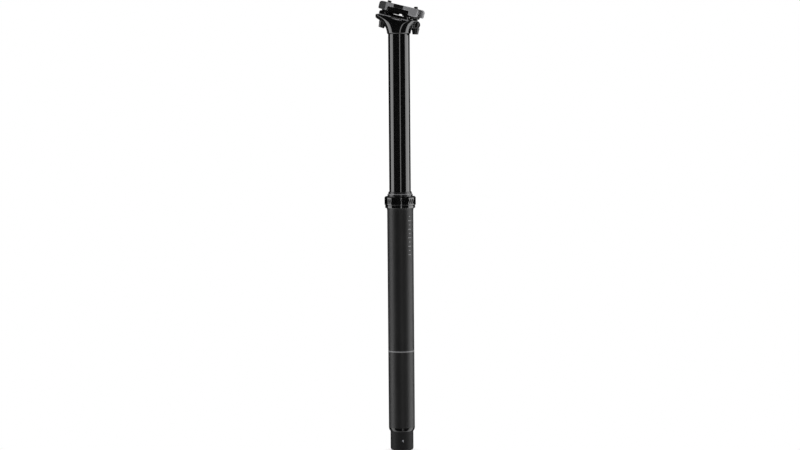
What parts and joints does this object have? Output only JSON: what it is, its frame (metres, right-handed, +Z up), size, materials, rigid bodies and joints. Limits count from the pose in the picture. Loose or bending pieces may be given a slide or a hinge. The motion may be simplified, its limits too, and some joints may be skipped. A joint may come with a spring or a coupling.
{
  "type": "dropper seatpost",
  "caption": "Telescoping bicycle seatpost: a gloss upper tube drops into a matte lower tube, with a two-bolt saddle clamp on top and a cable-pulled lever in its foot.",
  "frame": {"origin": "on the post's axis, at the top end of the straight lower tube, where its flare begins", "axes": "+Z up along the post towards the saddle, +X towards the front of the bicycle, -Y towards the drive side"},
  "size_m": [0.0539, 0.054, 0.5323],
  "materials": {
    "matte_black": "matte black anodised",
    "gloss_black": "gloss black anodised",
    "satin_black": "satin black anodised",
    "clamp_grey": "satin dark grey anodised",
    "bolt_black": "black oxide",
    "steel": "ground steel",
    "bare_alloy": "turned",
    "brass": "turned",
    "rubber": "matte",
    "bushing": "self-lubricating"
  },
  "bodies": {
    "lower": {"lower_tube": "matte_black", "seal_collar": "gloss_black", "wiper_seal": "rubber", "upper_bushing": "bushing", "foot_housing": "satin_black", "foot_o_ring": "rubber", "pivot_pin": "steel", "cartridge_rod": "steel", "rod_nut": "steel", "piston": "bare_alloy", "piston_ring": "rubber"},
    "upper": {"stanchion": "gloss_black", "head": "gloss_black", "guide_keys": "brass", "lower_bushing": "bushing", "circlip": "steel", "cartridge_body": "bare_alloy", "cartridge_cap": "steel", "cap_o_ring": "rubber", "cartridge_gland": "brass", "gland_seal": "rubber"},
    "float": {"floating_piston": "bare_alloy", "floating_ring": "rubber"},
    "release": {"release_pin": "steel"},
    "lever": {"actuator_lever": "bare_alloy"},
    "barrel": {"cable_barrel": "brass"},
    "clamp": {"lower_clamp": "satin_black", "upper_clamp": "clamp_grey"},
    "rear_cross_nut": {"rear_nut": "steel"},
    "front_cross_nut": {"front_nut": "steel"},
    "rear_screw": {"rear_bolt": "bolt_black", "rear_washer": "bolt_black"},
    "front_screw": {"front_bolt": "bolt_black", "front_washer": "bolt_black"}
  },
  "joints": [
    {"name": "post_slide", "type": "slide", "parent": "lower", "child": "upper", "axis": [0, 0, 1], "range_m": [-0.175, 0], "stiffness_N_per_m": 850, "springref_m": 0.23},
    {"name": "float_slide", "type": "slide", "parent": "upper", "child": "float", "axis": [0, 0, 1], "range_m": [0, 0.0346]},
    {"name": "lever_pivot", "type": "hinge", "parent": "lower", "child": "lever", "pos_m": [0.0032, 0, -0.2717], "axis": [0, 1, 0], "range_deg": [0, 20]},
    {"name": "release_slide", "type": "slide", "parent": "lower", "child": "release", "axis": [0, 0, 1], "range_m": [0, 0.00105], "stiffness_N_per_m": 50, "springref_m": -0.003},
    {"name": "barrel_swivel", "type": "hinge", "parent": "lever", "child": "barrel", "pos_m": [0.0076, 0, -0.2717], "axis": [0, 1, 0], "range_deg": [-20, 0]},
    {"name": "saddle_tilt", "type": "hinge", "parent": "upper", "child": "clamp", "pos_m": [0.00669, 0, 0.24803], "axis": [0, 1, 0], "range_deg": [-6, 4]},
    {"name": "rear_screw_swivel", "type": "hinge", "parent": "upper", "child": "rear_screw", "pos_m": [-0.0174, 0, 0.22657], "axis": [0, 1, 0], "range_deg": [-4, 6]},
    {"name": "front_screw_swivel", "type": "hinge", "parent": "upper", "child": "front_screw", "pos_m": [0.01997, 0, 0.21863], "axis": [0, 1, 0], "range_deg": [-4, 6]},
    {"name": "rear_nut_swivel", "type": "hinge", "parent": "clamp", "child": "rear_cross_nut", "pos_m": [-0.01237, 0, 0.24144], "axis": [0, 1, 0], "range_deg": [-8, 12]},
    {"name": "front_nut_swivel", "type": "hinge", "parent": "clamp", "child": "front_cross_nut", "pos_m": [0.02043, 0, 0.23327], "axis": [0, 1, 0], "range_deg": [-8, 12]}
  ],
  "couplings": [
    {"joint": "float_slide", "follows": "post_slide", "ratio": -0.19753},
    {"joint": "lever_pivot", "follows": "release_slide", "rad_per_m": 332.4},
    {"joint": "barrel_swivel", "follows": "release_slide", "rad_per_m": -332.4},
    {"joint": "rear_screw_swivel", "follows": "saddle_tilt", "ratio": -0.85},
    {"joint": "front_screw_swivel", "follows": "saddle_tilt", "ratio": -0.91},
    {"joint": "rear_nut_swivel", "follows": "saddle_tilt", "ratio": -1.85},
    {"joint": "front_nut_swivel", "follows": "saddle_tilt", "ratio": -1.91}
  ]
}
